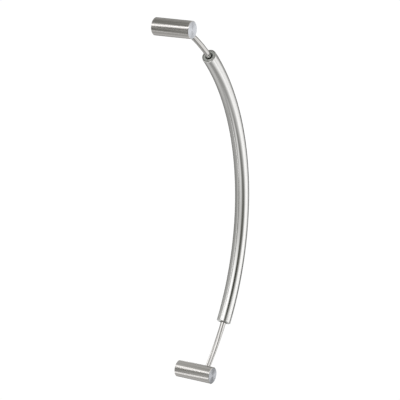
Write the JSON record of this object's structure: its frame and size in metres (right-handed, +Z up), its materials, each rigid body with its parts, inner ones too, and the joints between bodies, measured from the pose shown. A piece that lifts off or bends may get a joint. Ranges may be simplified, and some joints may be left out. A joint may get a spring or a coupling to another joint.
{
  "type": "entry door pull",
  "caption": "Bow-shaped entry door pull: a curved tube grip on a thin bent bar between round stand-off posts that fix to the door.",
  "frame": {"origin": "on the door's face, midway between the two fixing holes", "axes": "+Z up, through both fixing holes' mouths; +Y into the door, so that the pull stands out towards -Y; +X sideways, towards the middle of the bow"},
  "size_m": [0.1967, 0.07, 0.665],
  "materials": {
    "post_steel": "satin stainless steel, turned, with concentric lines on the front face",
    "bar_steel": "satin stainless steel, ground along its length",
    "grip_steel": "satin stainless steel, brushed",
    "ring_steel": "turned stainless steel, satin",
    "bush_black": "matte black nylon",
    "screw_steel": "dark stainless steel"
  },
  "bodies": {
    "root": {"upper_post": "post_steel", "lower_post": "post_steel", "bow_bar": "bar_steel", "grip_tube": "grip_steel", "upper_end_ring": "ring_steel", "lower_end_ring": "ring_steel", "upper_bush": "bush_black", "lower_bush": "bush_black", "upper_grub_screw": "screw_steel", "lower_grub_screw": "screw_steel"}
  },
  "joints": []
}
